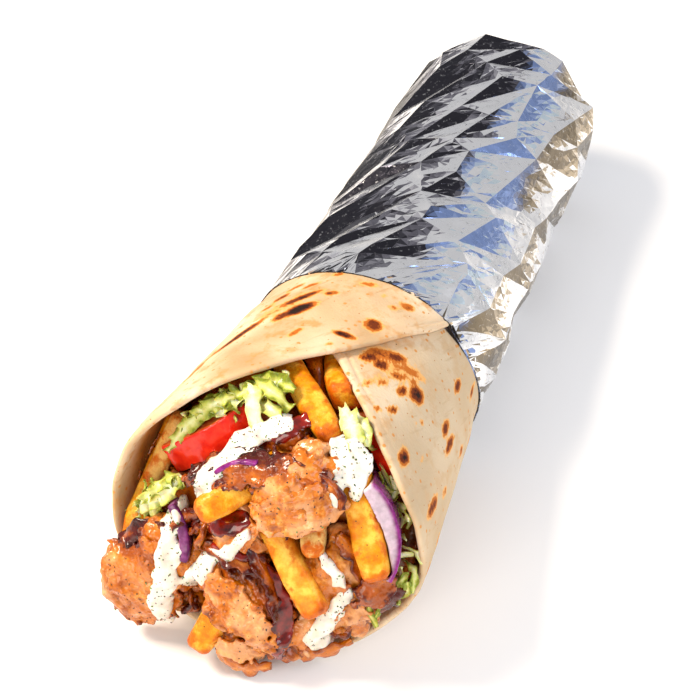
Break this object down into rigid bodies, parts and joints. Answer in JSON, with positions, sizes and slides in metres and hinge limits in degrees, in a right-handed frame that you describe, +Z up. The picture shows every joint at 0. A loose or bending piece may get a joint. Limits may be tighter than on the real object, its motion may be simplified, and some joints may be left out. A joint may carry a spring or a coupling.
{
  "type": "gyro wrap",
  "caption": "Flour tortilla rolled round shaved roast meat, fries, tomato, onion and lettuce, open at one end and sleeved in crumpled foil at the other, lying on its side.",
  "frame": {"origin": "on the flat underside of the foil sleeve, on the wrap's middle line, 20 mm behind the foil's torn edge", "axes": "+Y from the open mouth towards the foil end, +Z up, +X to the right seen from the mouth"},
  "size_m": [0.0884, 0.2453, 0.0786],
  "materials": {
    "flatbread": "matt soft griddled flour tortilla with browned blisters",
    "foil": "crumpled bright kitchen foil",
    "roast_meat": "moist shaved roast meat with charred glossy edges",
    "fried_potato": "crisp golden fried potato",
    "tomato": "wet red tomato skin and flesh",
    "red_onion": "wet translucent onion with a purple skin edge",
    "red_cabbage": "wet purple cabbage strip",
    "lettuce": "crisp pale green shredded lettuce",
    "herb_sauce": "thick white yoghurt sauce with herb specks",
    "red_sauce": "glossy dark red sauce"
  },
  "bodies": {
    "root": {"tortilla": "flatbread", "foil_wrap": "foil", "meat_filling": "roast_meat", "fry_1": "fried_potato", "fry_2": "fried_potato", "fry_3": "fried_potato", "fry_4": "fried_potato", "fry_5": "fried_potato", "fry_6": "fried_potato", "fry_7": "fried_potato", "fry_8": "fried_potato", "fry_9": "fried_potato", "meat_1": "roast_meat", "meat_2": "roast_meat", "meat_3": "roast_meat", "meat_4": "roast_meat", "meat_5": "roast_meat", "meat_6": "roast_meat", "meat_7": "roast_meat", "meat_8": "roast_meat", "meat_9": "roast_meat", "meat_10": "roast_meat", "meat_11": "roast_meat", "meat_12": "roast_meat", "meat_13": "roast_meat", "meat_14": "roast_meat", "tomato_1": "tomato", "tomato_2": "tomato", "onion_1": "red_onion", "onion_2": "red_onion", "cabbage_1": "red_cabbage", "lettuce_top": "lettuce", "lettuce_left": "lettuce", "lettuce_right": "lettuce", "lettuce_middle": "lettuce"}
  },
  "joints": []
}
